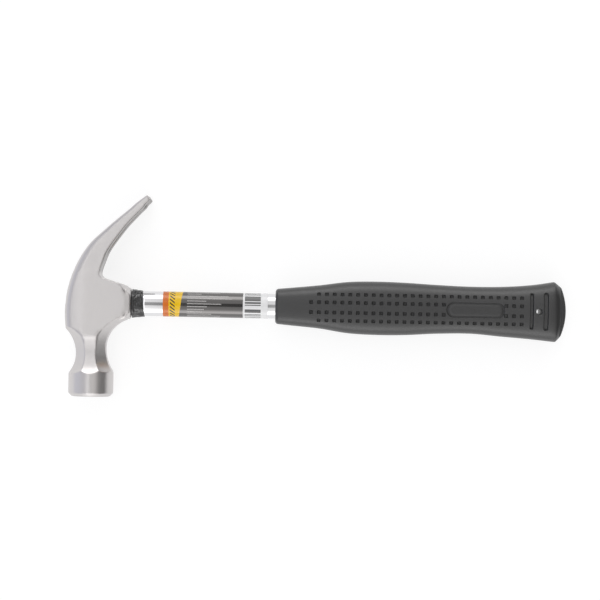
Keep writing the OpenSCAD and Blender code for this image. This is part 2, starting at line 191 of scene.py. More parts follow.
# The camera and its arm, which reaches towards the butt: how dark along the handle, and across it
CAMERA_ALONG = [
    (0.0, 0.0), (0.445, 0.0), (0.455, 0.22), (0.461, 0.74), (0.484, 0.88), (0.50, 0.88),
    (0.53, 0.55), (0.60, 0.42), (0.68, 0.20), (0.76, 0.0)]
CAMERA_ACROSS = [
    (0.0, 1.0), (0.20, 1.0), (0.28, 0.58), (0.47, 0.48), (0.62, 0.38), (0.73, 0.30),
    (0.82, 0.04), (0.90, 0.0)]
# How dark it gets close over the table: out to the sides, and by height
LOW_ACROSS, LOW_UP = [(0.85, 0.0), (0.97, 0.5)], [(0.02, 1.0), (0.2, 0.0)]
print("light of", len(BOXES), "levels across and", len(FLAGS), "along")


# %% Table
def choose(tree, mask, under, over):
    """One shader or the other, by a mask."""
    node = add(tree, "ShaderNodeMixShader")
    for socket, value in zip(node.inputs, (mask, under, over)):
        feed(tree, socket, value)
    return node.outputs[0]


floor_mesh = bpy.data.meshes.new("table")
corner_signs = ((-1, -1), (1, -1), (1, 1), (-1, 1))
floor_mesh.from_pydata(
    [(x * FLOOR_HALF, y * FLOOR_HALF, 0) for x, y in corner_signs], [], [(0, 1, 2, 3)])
table = bpy.data.objects.new("table", floor_mesh)
scene.collection.objects.link(table)

table_white = bpy.data.materials.new("table white")
table_white.use_nodes = True
tree = table_white.node_tree
tree.nodes.clear()
path = add(tree, "ShaderNodeLightPath").outputs
by_camera = path["Is Camera Ray"]
by_mirror = maths(tree, "MAXIMUM", path["Is Glossy Ray"], path["Is Transmission Ray"])
mirrored = maths(tree, "MULTIPLY", by_mirror, MIRRORED_GLOW)
seen = maths(tree, "MAXIMUM", by_camera, by_mirror)
glow = add(tree, "ShaderNodeEmission",
           Strength=maths(tree, "MULTIPLY_ADD", by_camera, FLOOR_GLOW, mirrored))
matt, plain = (add(tree, "ShaderNodeBsdfDiffuse", Color=(level, level, level, 1)).outputs[0]
               for level in (FLOOR_WHITE, BOUNCED_WHITE))
both = add(tree, "ShaderNodeAddShader")
join(tree, glow.outputs[0], both.inputs[0])
join(tree, matt, both.inputs[1])
add(tree, "ShaderNodeOutputMaterial", Surface=choose(tree, seen, plain, both.outputs[0]))
floor_mesh.materials.append(table_white)
print("table of", 2 * FLOOR_HALF, "m")

# %% World
world = bpy.data.worlds.new("studio")
scene.world = world
world.use_nodes = True
tree = world.node_tree
tree.nodes.clear()
direction = add(tree, "ShaderNodeTexCoord").outputs["Generated"]
dx, dy, dz = add(tree, "ShaderNodeSeparateXYZ", Vector=direction).outputs
along, across = (maths(tree, "MULTIPLY_ADD", d, 0.5, 0.5) for d in (dx, dy))
aside = maths(tree, "ABSOLUTE", dy)
low = maths(tree, "MULTIPLY", ramp(tree, aside, LOW_ACROSS), ramp(tree, dz, LOW_UP))
hidden = maths(tree, "MULTIPLY_ADD", ramp(tree, along, CAMERA_ALONG),
               ramp(tree, aside, CAMERA_ACROSS), low)
tint = add(tree, "ShaderNodeMix", data_type="RGBA", blend_type="MULTIPLY")
for place, value in ((0, 1.0), (6, ramp(tree, across, BOXES)), (7, ramp(tree, along, FLAGS))):
    feed(tree, tint.inputs[place], value)
studio = add(tree, "ShaderNodeBackground", Color=tint.outputs[2],
             Strength=maths(tree, "SUBTRACT", 1.0, hidden))
white = add(tree, "ShaderNodeBackground", Color=(1, 1, 1, 1))
by_camera = add(tree, "ShaderNodeLightPath").outputs["Is Camera Ray"]
add(tree, "ShaderNodeOutputWorld",
    Surface=choose(tree, by_camera, studio.outputs[0], white.outputs[0]))
print("world lit by", len(tree.nodes), "nodes")

# %% [markdown]
# ## Turned pieces
# The tube, the collar, the plug and the label are all turned about the handle's axis, as on a
# lathe, so one helper spins an outline of (u, radius) points. Rings close together at a corner keep
# the corner crisp under smooth shading.

# %% Lathe
LATHE_STEPS = 128


def to_piece(name, mesh):
    """A piece from a finished bmesh, with its faces turned outwards."""
    bmesh.ops.recalc_face_normals(mesh, faces=mesh.faces)
    data = bpy.data.meshes.new(name)
    mesh.to_mesh(data)
    mesh.free()
    piece = bpy.data.objects.new(name, data)
    scene.collection.objects.link(piece)
    return piece


def lathe(name, outline, closed=True):
    """A piece turned about the handle's axis from (u, radius) points, in millimetres."""
    mesh = bmesh.new()
    angles = [2 * math.pi * k / LATHE_STEPS for k in range(LATHE_STEPS)]
    rings = []
    for u, r in outline:
        turns = [0.0] if r < TOUCH else angles
        rings.append([mesh.verts.new(at(u, r * math.cos(a), r * math.sin(a))) for a in turns])
    following = rings[1:] + rings[:1] if closed else rings[1:]
    for a, b in zip(rings, following):
        for k in range(LATHE_STEPS):
            n = (k + 1) % LATHE_STEPS
            corners = (a[k % len(a)], b[k % len(b)], b[n % len(b)], a[n % len(a)])
            corners = list(dict.fromkeys(corners))
            if len(corners) > 2:
                mesh.faces.new(corners)
    piece = to_piece(name, mesh)
    piece.data.shade_smooth()
    return piece


# %% Rounded corners
EDGE_R, LONGEST_CUT = 0.5, 0.45


def rounded(outline, steps=4, keep=()):
    """An outline of (u, r) points with its corners rounded; those listed in keep stay sharp."""
    points = []
    for i, p in enumerate(outline):
        p = Vector(p)
        before = Vector(outline[i - 1]) - p
        after = Vector(outline[(i + 1) % len(outline)]) - p
        if i in keep or min(before.length, after.length) < TOUCH:
            points.append(tuple(p))
            continue
        cut = min(EDGE_R, LONGEST_CUT * before.length, LONGEST_CUT * after.length)
        a, b = p + before.normalized() * cut, p + after.normalized() * cut
        for k in range(steps + 1):
            t = k / steps
            points.append(tuple(a * (1 - t) ** 2 + p * (2 * t * (1 - t)) + b * t * t))
    return points


# %% Dress
def dress(piece, node, material):
    """A finished piece takes a node's place, rides with the hammer and gets its finish."""
    piece.data.materials.clear()
    piece.data.materials.append(material)
    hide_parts(node)
    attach(piece, "root")
    triangles = sum(len(p.vertices) - 2 for p in piece.data.polygons)
    print(piece.name, "stands for", node, "with", triangles, "triangles")


# %% [markdown]
# ## Chrome
# The tube is polished and plated: a full metal with very low roughness. Real chrome is never
# perfect, so a faint haze varies the roughness and a trace of drawing lines runs along the tube.

# %% Helpers for a finish
def finish(name, **settings):
    """A new material, with its tree and its Principled shader to work on."""
    material = bpy.data.materials.new(name)
    material.use_nodes = True
    tree = material.node_tree
    shader = tree.nodes["Principled BSDF"]
    for key, value in settings.items():
        shader.inputs[key.replace("_", " ")].default_value = value
    print("finish:", name)
    return material, tree, shader


def place_on(tree, scale=(1.0, 1.0, 1.0), shift=(0.0, 0.0, 0.0)):
    """Object coordinates, scaled along each axis and then shifted."""
    coords = add(tree, "ShaderNodeTexCoord").outputs["Object"]
    return add(tree, "ShaderNodeMapping", Vector=coords, Scale=scale, Location=shift).outputs[0]


def noise(tree, scale, detail):
    """Soft random values, with so many grains to the metre along each axis."""
    return add(tree, "ShaderNodeTexNoise", Vector=place_on(tree, scale), Scale=1.0,
               Detail=detail).outputs["Fac"]


def bump(tree, shader, height, strength, distance):
    """A fine relief from a height, up to a distance in metres."""
    node = add(tree, "ShaderNodeBump", Height=height, Strength=strength, Distance=distance)
    join(tree, node.outputs["Normal"], shader.inputs["Normal"])


# %% Chrome finish
chrome, tree, shader = finish("bright chrome", Base_Color=(0.77, 0.77, 0.78, 1), Metallic=1.0)
haze = noise(tree, (60, 400, 400), detail=4.0)
join(tree, ramp(tree, haze, [(0.3, 0.03), (0.75, 0.07)]), shader.inputs["Roughness"])
bump(tree, shader, noise(tree, (15, 1500, 1500), detail=2.0), strength=0.03, distance=0.0002)

# %% Tube
EYE_NECK, TUBE_R, TUBE_WALL = 6.9, 8.0, 1.2
SWAGE_START, SWAGE_LEN = 28.64, 4.56
MOUTH, FLARE_START, FLARE, FLARE_LEN = -15.9, 1.2, 1.2, 18
# Rings that keep the shading flat behind the swage
AFTER_SWAGE = (1.2, 3.0, 8.0)
swage_end = SWAGE_START + SWAGE_LEN
tube_end = (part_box("handle_tube")[1].x - EYE.x) / MM
flare_mouth = FLARE * (FLARE_START - MOUTH) / FLARE_LEN
tube = lathe("chrome_tube", rounded([
    (MOUTH, EYE_NECK + flare_mouth - TUBE_WALL),
    (MOUTH, EYE_NECK + flare_mouth),
    (FLARE_START, EYE_NECK),
    (SWAGE_START, EYE_NECK),
    (swage_end, TUBE_R),
    *((swage_end + reach, TUBE_R) for reach in AFTER_SWAGE),
    (tube_end, TUBE_R),
    (tube_end, TUBE_R - TUBE_WALL),
    (swage_end, TUBE_R - TUBE_WALL),
    (SWAGE_START, EYE_NECK - TUBE_WALL),
    (FLARE_START, EYE_NECK - TUBE_WALL),
]))
dress(tube, "handle_tube", chrome)

# %% [markdown]
# ## The collar
# The black plastic sleeve shows as a short tapered collar, and as a thin ring at the crown. It is
# glossy and a little crumpled, as a sleeve is that was pressed into the eye: the mesh is drawn in
# by a few tenths of a millimetre along soft folds, which break the light into streaks. Its free
# end leans by nearly four degrees and is trimmed a little shorter on the claw's side.

# %% Collar
gloss_black, tree, shader = finish(
    "gloss black", Base_Color=(0.004, 0.004, 0.005, 1), Roughness=0.08, IOR=1.7)
bump(tree, shader, noise(tree, (300, 900, 900), detail=2.0), strength=0.03, distance=0.0003)

BOSS_REACH, COLLAR_LEN, EYE_R, COLLAR_R, COLLAR_END_R = 25.6, 7.6, 7.8, 9.4, 8.5
COLLAR_RINGS = 20
collar_end = BOSS_REACH + COLLAR_LEN
outside = [(u, COLLAR_R + (COLLAR_END_R - COLLAR_R) * (u - BOSS_REACH) / COLLAR_LEN)
           for u in np.linspace(BOSS_REACH, collar_end, COLLAR_RINGS)]
collar = lathe("eye_collar", rounded([
    (MOUTH, EYE_NECK + flare_mouth),
    (MOUTH, EYE_R + flare_mouth),
    (FLARE_START, EYE_R),
    (BOSS_REACH, EYE_R),
    *outside,
    (collar_end, TUBE_R),
    (SWAGE_START, EYE_NECK),
    (FLARE_START, EYE_NECK),
]))
print("collar of", len(collar.data.vertices), "vertices")

# %% Folds of the collar
COLLAR_SLANT, COLLAR_TRIM = math.tan(math.radians(3.8)), 0.35
FOLD_DEPTH, FOLD_LEVEL, SKIN_DEPTH, HAIR = 0.40, 0.45, 0.6, 0.01
FOLDS_ALONG, FOLDS_ROUND = 2.2, 3.1
# The noise's roughness, the step between its octaves, and how many it has
FOLD_NOISE = (1.0, 2.0, 3)
# How fast the folds set in behind the boss and die out at the free end, and what is left there
FOLDS_IN, FOLDS_OUT, FOLDS_LEFT = 4, 5, 0.3


def clamp(value):
    return min(1.0, max(0.0, value))


for vertex in collar.data.vertices:
    u, v, w = (vertex.co - EYE) / MM
    if u < BOSS_REACH - HAIR:
        continue
    share, angle, r = (u - BOSS_REACH) / COLLAR_LEN, math.atan2(v, w), math.hypot(v, w)
    spot = Vector((share * FOLDS_ALONG, FOLDS_ROUND * math.cos(angle) + share,
                   FOLDS_ROUND * math.sin(angle)))
    folds = clamp(FOLD_LEVEL + mathnoise.fractal(spot, *FOLD_NOISE))
    outer = clamp((r - TUBE_R) / SKIN_DEPTH)
    ends = min(1.0, FOLDS_IN * share, FOLDS_OUT * (1 - share) + FOLDS_LEFT)
    r -= FOLD_DEPTH * outer * folds * ends
    u -= share * (COLLAR_SLANT * v + COLLAR_TRIM * clamp(1 + v / COLLAR_R))
    vertex.co = at(u, r * math.sin(angle), r * math.cos(angle))
dress(collar, "eye_sleeve", gloss_black)

# %% [markdown]
# ## The plug
# A tapered steel plug spreads the tube in the eye. Only its flat end shows at the crown, with the
# rings that facing it on a lathe leaves.

# %% Plug
plug_steel, tree, shader = finish(
    "faced steel", Base_Color=(0.60, 0.59, 0.58, 1), Metallic=1.0, Roughness=0.38)
wave = add(tree, "ShaderNodeTexWave", Vector=place_on(tree, shift=-EYE), Scale=900.0,
           Distortion=0.6, wave_type="RINGS", rings_direction="X")
bump(tree, shader, wave.outputs["Fac"], strength=0.15, distance=0.0002)
PLUG_LEN = 14.0
plug_bore = EYE_NECK - TUBE_WALL
plug_inner = plug_bore + max(0.0, FLARE * (FLARE_START - MOUTH - PLUG_LEN) / FLARE_LEN)
plug = lathe("plug_end", rounded([
    (MOUTH, 0.0),
    (MOUTH, plug_bore + flare_mouth),
    (MOUTH + PLUG_LEN, plug_inner),
    (MOUTH + PLUG_LEN, 0.0),
], steps=3, keep=(0, 3)), closed=False)
dress(plug, "locking_plug", plug_steel)

# %% [markdown]
# ## The label
# A printed film is wrapped round the tube. It has plain fields of strong colours, slanted stripes,
# thin pale lines and a few bars. All of it is worked out from two numbers: how far along the handle
# a point lies, and how far round the tube. The dark field is bare foil under a dark lacquer, so it
# mirrors like metal.

# %% Colours and places of the print
ORANGE, AMBER, PAPER = (0.70, 0.165, 0.012), (0.90, 0.56, 0.002), (0.86, 0.86, 0.86)
INK, BAR_INK, GREY = (0.02, 0.02, 0.02), (0.12, 0.12, 0.12), (0.50, 0.49, 0.48)
FOIL = (0.155, 0.15, 0.148)
AMBER_START, DARK_START, DARK_SLANT, PAPER_START = 49.2, 56.9, 0.13, 96.6
STRIPE_BAND, STRIPE_SLOPE, STRIPES_PER_MM, STRIPE_SHARE = (50.0, 53.2), 0.8, 0.42, 0.42
LINE_START, LINE_END, LINE_SPREAD = 61.0, 70.0, 22.0
LINE_SHIFT, LINES_PER_MM, LINE_BAND = 0.35, 0.56, (0.36, 0.64)
BAR_BAND, BARS_PER_MM, BAR_SHARE = (97.8, 108.0), 1.7, 0.5
print("amber from", AMBER_START, "and white from", PAPER_START, "mm")


# %% Helpers for the print
def drawing(tree):
    """The drawing's u, v and w of a shading point, in millimetres."""
    places = place_on(tree, (1 / MM,) * 3, tuple(-c / MM for c in EYE))
    return add(tree, "ShaderNodeSeparateXYZ", Vector=places).outputs


def blend(tree, mask, under, over):
    """One colour laid over another, each a socket or a plain colour, by a mask."""
    node = add(tree, "ShaderNodeMix", data_type="RGBA")
    for place, value in ((0, mask), (6, under), (7, over)):
        feed(tree, node.inputs[place], (*value, 1.0) if isinstance(value, tuple) else value)
    return node.outputs[2]


def within(tree, value, low, high):
    """1 where a value lies between two places, else 0."""
    above, below = maths(tree, "GREATER_THAN", value, low), maths(tree, "LESS_THAN", value, high)
    return maths(tree, "MULTIPLY", above, below)


def chance(tree, value):
    """A random value from 0 to 1 for each whole number."""
    whole = maths(tree, "FLOOR", value)
    return add(tree, "ShaderNodeTexWhiteNoise", noise_dimensions="1D", W=whole).outputs["Value"]


# %% Printed film
film, tree, shader = finish("printed film", Roughness=0.09, Coat_Weight=0.2, Coat_Roughness=0.08)
u, v, w = drawing(tree)
around = maths(tree, "MULTIPLY", maths(tree, "ARCTAN2", v, w), TUBE_R)
# A band of slanted stripes on the amber, and the dark foil with its slanted edge
stripe = maths(tree, "MULTIPLY_ADD", u, STRIPE_SLOPE, around)
stripe = maths(tree, "FRACT", maths(tree, "MULTIPLY", stripe, STRIPES_PER_MM))
stripes = maths(tree, "MULTIPLY", maths(tree, "LESS_THAN", stripe, STRIPE_SHARE),
                within(tree, u, *STRIPE_BAND))
dark = within(tree, u, maths(tree, "MULTIPLY_ADD", around, DARK_SLANT, DARK_START), PAPER_START)
# Thin pale lines along the dark field, each of its own length
row = maths(tree, "MULTIPLY", maths(tree, "ADD", around, LINE_SHIFT), LINES_PER_MM)
line_end = maths(tree, "MULTIPLY_ADD", chance(tree, row), LINE_SPREAD, LINE_END)
lines = maths(tree, "MULTIPLY", within(tree, maths(tree, "FRACT", row), *LINE_BAND),
              within(tree, u, LINE_START, line_end))
# The white end, with bars along the handle at random places round it
paper = maths(tree, "GREATER_THAN", u, PAPER_START)
inked = maths(tree, "GREATER_THAN", chance(tree, maths(tree, "MULTIPLY", around, BARS_PER_MM)),
              BAR_SHARE)
bars = maths(tree, "MULTIPLY", inked, within(tree, u, *BAR_BAND))
colour = blend(tree, maths(tree, "GREATER_THAN", u, AMBER_START), ORANGE, AMBER)
for mask, over in ((stripes, INK), (dark, FOIL), (lines, GREY), (paper, PAPER), (bars, BAR_INK)):
    colour = blend(tree, mask, colour, over)
join(tree, colour, shader.inputs["Base Color"])
bare_foil = maths(tree, "MULTIPLY", dark, maths(tree, "SUBTRACT", 1.0, lines))
join(tree, bare_foil, shader.inputs["Metallic"])

# %% Label
LABEL_START, LABEL_LEN, LABEL_T, LABEL_EDGE = 45.5, 67.0, 0.12, 0.05
label_end, label_r = LABEL_START + LABEL_LEN, TUBE_R + LABEL_T
label = lathe("label_film", [
    (LABEL_START, TUBE_R),
    (LABEL_START, label_r - LABEL_EDGE),
    (LABEL_START + LABEL_EDGE, label_r),
    (LABEL_START + 4 * LABEL_EDGE, label_r),
    (label_end - 4 * LABEL_EDGE, label_r),
    (label_end - LABEL_EDGE, label_r),
    (label_end, label_r - LABEL_EDGE),
    (label_end, TUBE_R),
])
dress(label, "label", film)

# %% [markdown]
# ## The forged head
# The solid head has knife-sharp edges, and a polished forging has none. A copy of the solid is
# wrapped in a fine voxel skin, which joins the claw, the cheeks and the neck into one form, and a
# few smoothing passes then roll every edge over by a few tenths of a millimetre.

# %% Head
HEAD_VOXEL, SOFT_PASSES = 0.34, 4
head_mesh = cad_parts["head"].data.copy()
head_mesh.materials.clear()
work = bmesh.new()
work.from_mesh(head_mesh)
bmesh.ops.remove_doubles(work, verts=work.verts, dist=TOUCH)
work.to_mesh(head_mesh)
work.free()
head = bpy.data.objects.new("forged_head", head_mesh)
scene.collection.objects.link(head)


def smooth(piece, passes, group=""):
    """Moves every vertex half way to the middle of its neighbours, so many times."""
    even = piece.modifiers.new("smooth", "SMOOTH")
    even.factor, even.iterations, even.vertex_group = 0.5, passes, group


def bake(piece):
    """Applies every modifier of a piece and leaves a plain mesh."""
    graph = bpy.context.evaluated_depsgraph_get()
    mesh = bpy.data.meshes.new_from_object(piece.evaluated_get(graph))
    piece.modifiers.clear()
    piece.data = mesh
    mesh.shade_smooth()


skin = head.modifiers.new("skin", "REMESH")
skin.mode, skin.voxel_size = "VOXEL", HEAD_VOXEL * MM
smooth(head, SOFT_PASSES)
bake(head)
print("skin of the head:", len(head.data.vertices), "vertices")


# %% [markdown]
# ### Belt work on the head
# The drawing keeps the cheeks plain flats. On the real head the polishing belt leaves them a little
# fuller at the boss and a little fallen away towards the crown, grinds the boss's mouth back at its
# corners, and runs out softly into the neck. The claw is fuller inside its bend than the drawing
# has it, and flatter over its back. So the vertices there are moved by up to two millimetres, with
# soft masks that fade from 0 to 1 between two places.

# %% Measure the head
def read_drawing(mesh):
    """Every vertex of a mesh as rows of u, v and w in millimetres."""
    flat = np.empty(3 * len(mesh.vertices), dtype=np.float32)
    mesh.vertices.foreach_get("co", flat)
    return (flat.reshape(-1, 3) - np.array(EYE)) / MM


def fade(values, zero, one):
    """0 at one place, 1 at another, and an S between them."""
    t = np.clip((values - zero) / (one - zero), 0, 1)
    return t * t * (3 - 2 * t)


place = read_drawing(head.data)
# These three are views of place, so a change to one moves the vertices
u, v, w = place.T
print("head from", place.min(axis=0).round(1), "to", place.max(axis=0).round(1))

# %% Boss and cheeks
CHEEK, CHEEK_TAPER, TAPER_FROM, TAPER_RUN = 12.2, 0.10, 21, 9
BOSS_SIDE, BOSS_SPREAD, BOSS_SQUARE = 10.1, math.tan(math.radians(17)), 4
RIM_GAP, RIM_TRIM = 0.1, 0.3
LIFT_SIDE, LIFT_FROM, LIFT_SHARE = (4.5, 8.0), 16, 0.999
FALL, FALL_FROM, FALL_RUN = 0.006, -3, 20
FALL_NECK, FALL_SIDE, FALL_CLAW = (-27, -20), (7, 10), (62, 40)
height = BOSS_SIDE + (BOSS_REACH - u) * BOSS_SPREAD
corner = np.clip(1 - np.abs(v / height) ** BOSS_SQUARE, 0, 1) ** (1 / BOSS_SQUARE)
full = (CHEEK - CHEEK_TAPER * np.clip(u - TAPER_FROM, 0, TAPER_RUN)) * corner
# The eye's bore keeps its place, and the boss's end face stretches from its rim
rim = np.clip((np.hypot(v, w) - EYE_R - RIM_GAP) / (BOSS_SIDE - EYE_R - RIM_TRIM), 0, 1)
on_boss = (u > LIFT_FROM) * (np.abs(v) < LIFT_SHARE * height)
lifted = rim * fade(np.abs(w), *LIFT_SIDE) * on_boss
raised = np.abs(w) + lifted * np.clip(full - np.abs(w), 0, None)
fallen = (FALL * np.clip(FALL_FROM - u, 0, FALL_RUN) ** 2 * fade(v, *FALL_NECK)
          * fade(np.abs(w), *FALL_SIDE) * fade(v, *FALL_CLAW))
w[:] = np.sign(w) * (raised - fallen)
print("cheeks fallen by", round(float(fallen.max()), 2), "mm at most")

# %% Claw and mouth of the boss
CLAW_FROM = 14
# How far a face moves, where along v the move sets in, and where it dies out
BACK_IN, BACK_RISE, BACK_END = 1.1, (36, 47), (66, 58)
FRONT_OUT, FRONT_RISE, FRONT_END = 1.9, (16, 29), (52, 34)
BEND_OUT, BEND_RISE, BEND_END = 0.3, (38, 46), (60, 52)
TIP_BACK, TIP_RISE = 1.0, (61, 64)
GRIND, GRIND_FROM, GRIND_RISE, GRIND_END = 0.8, 20, (5, 8.5), (15, 12)
claw = v > CLAW_FROM
# The claw's back and front edges, at every whole millimetre of v
level = np.round(v[claw]).astype(int)
levels = np.unique(level)
back = np.interp(v, levels, [u[claw][level == n].min() for n in levels])
front = np.interp(v, levels, [u[claw][level == n].max() for n in levels])
share = np.clip((u - back) / (front - back), 0, 1)
back_in = BACK_IN * fade(v, *BACK_RISE) * fade(v, *BACK_END)
front_out = FRONT_OUT * fade(v, *FRONT_RISE) * fade(v, *FRONT_END) - TIP_BACK * fade(v, *TIP_RISE)
front_out += BEND_OUT * fade(v, *BEND_RISE) * fade(v, *BEND_END)
u += claw * (back_in * (1 - share) + front_out * share)
off_axis = np.abs(v)
u -= (GRIND * fade(u, GRIND_FROM, BOSS_REACH)
      * fade(off_axis, *GRIND_RISE) * fade(off_axis, *GRIND_END))
head.data.vertices.foreach_set("co", (place * MM + np.array(EYE)).astype(np.float32).ravel())
print("claw measured at", len(levels), "places")

# %% Run-out into the neck
NECK_V, NECK_HALF, NECK_W = 21, (5.5, 2.5), (8.5, 10)
BOSS_U, BOSS_W, BOSS_V = (15, 19), (7, 9), (10, 8)
RUN_PASSES, KEPT_SHARE = 70, 0.57
soft = head.vertex_groups.new(name="soft")
neck = fade(np.abs(v + NECK_V), *NECK_HALF) * fade(np.abs(w), *NECK_W)
boss = fade(u, *BOSS_U) * fade(np.abs(w), *BOSS_W) * fade(off_axis, *BOSS_V)
weights = np.round(np.maximum(neck, boss), 1)
for weight in np.unique(weights[weights > 0]):
    soft.add(np.nonzero(weights == weight)[0].tolist(), float(weight), "REPLACE")
smooth(head, RUN_PASSES, "soft")
thin = head.modifiers.new("thin", "DECIMATE")
thin.ratio = KEPT_SHARE
bake(head)
head.vertex_groups.clear()
print("head of", len(head.data.vertices), "vertices")


# %% [markdown]
# ### Satin steel
# The forging is polished all over. The inside of the claw's bend mirrors the shade under the claw,
# and that shade is painted into its colour as a darker steel, lighter along its middle. No pattern
# follows that face, so its vertices carry a mask: how much a vertex looks towards the handle, faded
# out at the bend's ends.

# %% Mask of the painted shade on the claw's inside
def facing(mesh):
    """The way that every vertex of a mesh looks, in rows of three."""
    return np.array([tuple(n.vector) for n in mesh.vertex_normals])


def keep_mask(mesh, name, values):
    """Stores one value for every vertex, for the mesh's material to read."""
    mask = mesh.attributes.new(name, "FLOAT", "POINT")
    mask.data.foreach_set("value", values.astype(np.float32))


# Painted shade on the claw's inside, for the shade it mirrors: lighter along the face's middle
INSIDE_TILT, INSIDE_LOOK = 0.4, (0.72, 0.95)
INSIDE_V, INSIDE_U = (18, 21), (45, 40)
MIDDLE_DARK, SIDE_DARK, SIDE_W = 0.35, 0.65, (1.5, 4.5)
u, v, w = read_drawing(head.data).T
look = facing(head.data)
inside = fade(look[:, 0] - INSIDE_TILT * look[:, 1], *INSIDE_LOOK)
inside = inside * fade(v, *INSIDE_V) * fade(u, *INSIDE_U)
inside *= MIDDLE_DARK + SIDE_DARK * fade(np.abs(w), *SIDE_W)
keep_mask(head.data, "inside", inside)
print("claw's inside:", int((inside > 0.5).sum()), "vertices")

# %% Satin finish
# The steel's own colour, and the darker steel that paints shade on the claw's inside
STEEL, INSIDE_SHADE = (0.625, 0.605, 0.60), (0.30, 0.29, 0.285)
satin, tree, shader = finish("satin steel", Metallic=1.0)
inside = add(tree, "ShaderNodeAttribute", attribute_name="inside").outputs["Fac"]
join(tree, blend(tree, inside, STEEL, INSIDE_SHADE), shader.inputs["Base Color"])
grain = noise(tree, (500, 500, 500), detail=3.0)
join(tree, ramp(tree, grain, [(0.25, 0.30), (0.8, 0.38)]), shader.inputs["Roughness"])
bump(tree, shader, noise(tree, (2500, 700, 1500), detail=2.0), strength=0.06, distance=0.0002)
dress(head, "head", satin)

# %% [markdown]
# ## The rubber grip
# The grip is one moulded sleeve. Its sections are rounded rectangles that swell under the palm,
# narrow behind it and flare at the butt, so it is lofted through them, with a table of shares of
# the butt's size. The front folds in to the tube. Behind the heel, which leans a little, the butt
# tapers to a shallow dome, and the rings there are evened out so that no edge stays sharp.

# %% Grip sections
GRIP_START, GRIP_LEN, BUTT_H, BUTT_T = 117.3, 186.0, 38.8, 28.8
SQUARENESS, LIP, DOME, TAPER_LEN, TAPER = 2.7, 1.8, 3.4, 3.8, 0.81
HEEL_LEAN, LEAN_RUN = 1.7, 0.04
HEEL = 1 - (DOME + TAPER_LEN) / GRIP_LEN
BUTT_END = GRIP_START + GRIP_LEN
# Share of the grip's length, then shares of the butt's height to both sides and of its thickness
SHARES = np.array([
    (0.00, 0.572, 0.580, 0.750), (0.05, 0.619, 0.624, 0.790), (0.15, 0.722, 0.706, 0.845),
    (0.25, 0.851, 0.845, 0.890), (0.35, 0.881, 0.884, 0.910), (0.45, 0.861, 0.866, 0.905),
    (0.55, 0.814, 0.804, 0.880), (0.67, 0.778, 0.778, 0.865), (0.78, 0.794, 0.856, 0.885),
    (0.88, 0.869, 0.923, 0.935), (HEEL, 0.990, 1.000, 1.000)])
HALVES = np.array((BUTT_H, BUTT_H, BUTT_T)) / 2


def smooth_share(s, column):
    """The table's column at a share of the grip's length, with no corner between its rows."""
    t, last = SHARES, len(SHARES) - 1
    i = min(max(int(np.searchsorted(t[:, 0], s, "right")) - 1, 0), last - 1)
    slope = [(t[min(j + 1, last), column] - t[max(j - 1, 0), column])
             / (t[min(j + 1, last), 0] - t[max(j - 1, 0), 0]) for j in (i, i + 1)]
    w = t[i + 1, 0] - t[i, 0]
    f = (s - t[i, 0]) / w
    return (t[i, column] * (1 + 2 * f) * (1 - f) ** 2 + slope[0] * w * f * (1 - f) ** 2
            + t[i + 1, column] * f * f * (3 - 2 * f) - slope[1] * w * f * f * (1 - f))


print("grip from", GRIP_START, "to", BUTT_END, "mm")

# %% Rings of the grip
SECTION_STEPS = 144
section_angles = np.linspace(0, 2 * math.pi, SECTION_STEPS, endpoint=False)


def grip_ring(u, up, down, half, lean=0.0):
    """One section: height to each side and half thickness, as rows of u, v and w."""
    c, s = np.cos(section_angles), np.sin(section_angles)
    v = np.sign(c) * np.abs(c) ** (2 / SQUARENESS) * np.where(c > 0, up, down)
    w = np.sign(s) * np.abs(s) ** (2 / SQUARENESS) * half
    return np.column_stack((u - v * math.tan(math.radians(lean)), v, w))


def grip_section(s, margin=0.0):
    """The section at a share of the grip's length, drawn in by a margin."""
    halves = [smooth_share(s, c + 1) * HALVES[c] - margin for c in range(3)]
    lean = HEEL_LEAN * max(0.0, 1 - (HEEL - s) / LEAN_RUN)
    return grip_ring(GRIP_START + s * GRIP_LEN, *halves, lean)


def grip_height(u, v):
    """Height of the grip's surface over its middle, at a place on its flat side."""
    s = (u - GRIP_START) / GRIP_LEN
    wide, half = smooth_share(s, 1 if v > 0 else 2) * BUTT_H / 2, smooth_share(s, 3) * BUTT_T / 2
    return half * (1 - (abs(v) / wide) ** SQUARENESS) ** (1 / SQUARENESS)


def stack(name, rings):
    """A closed solid from rings of u, v and w rows of equal number, capped at both ends."""
    mesh = bmesh.new()
    loops = [[mesh.verts.new(at(*p)) for p in ring] for ring in rings]
    count = len(loops[0])
    for a, b in zip(loops, loops[1:]):
        for k in range(count):
            n = (k + 1) % count
            mesh.faces.new((a[k], a[n], b[n], b[k]))
    mesh.faces.new(loops[0])
    mesh.faces.new(reversed(loops[-1]))
    return to_piece(name, mesh)


# %% Grip body
# Radius and depth of the rings that line the front's bore
FRONT_BORE = ((8.05, 3.0), (8.05, 0.25), (8.3, 0.0))
LIP_RINGS, LIP_ARC, BODY_RINGS = 6, 80, 150
NEAR_HEEL, HEEL_RINGS, TAPER_RINGS = HEEL - 0.03, 21, 15
DOME_RINGS, DOME_ARC = 20, 88
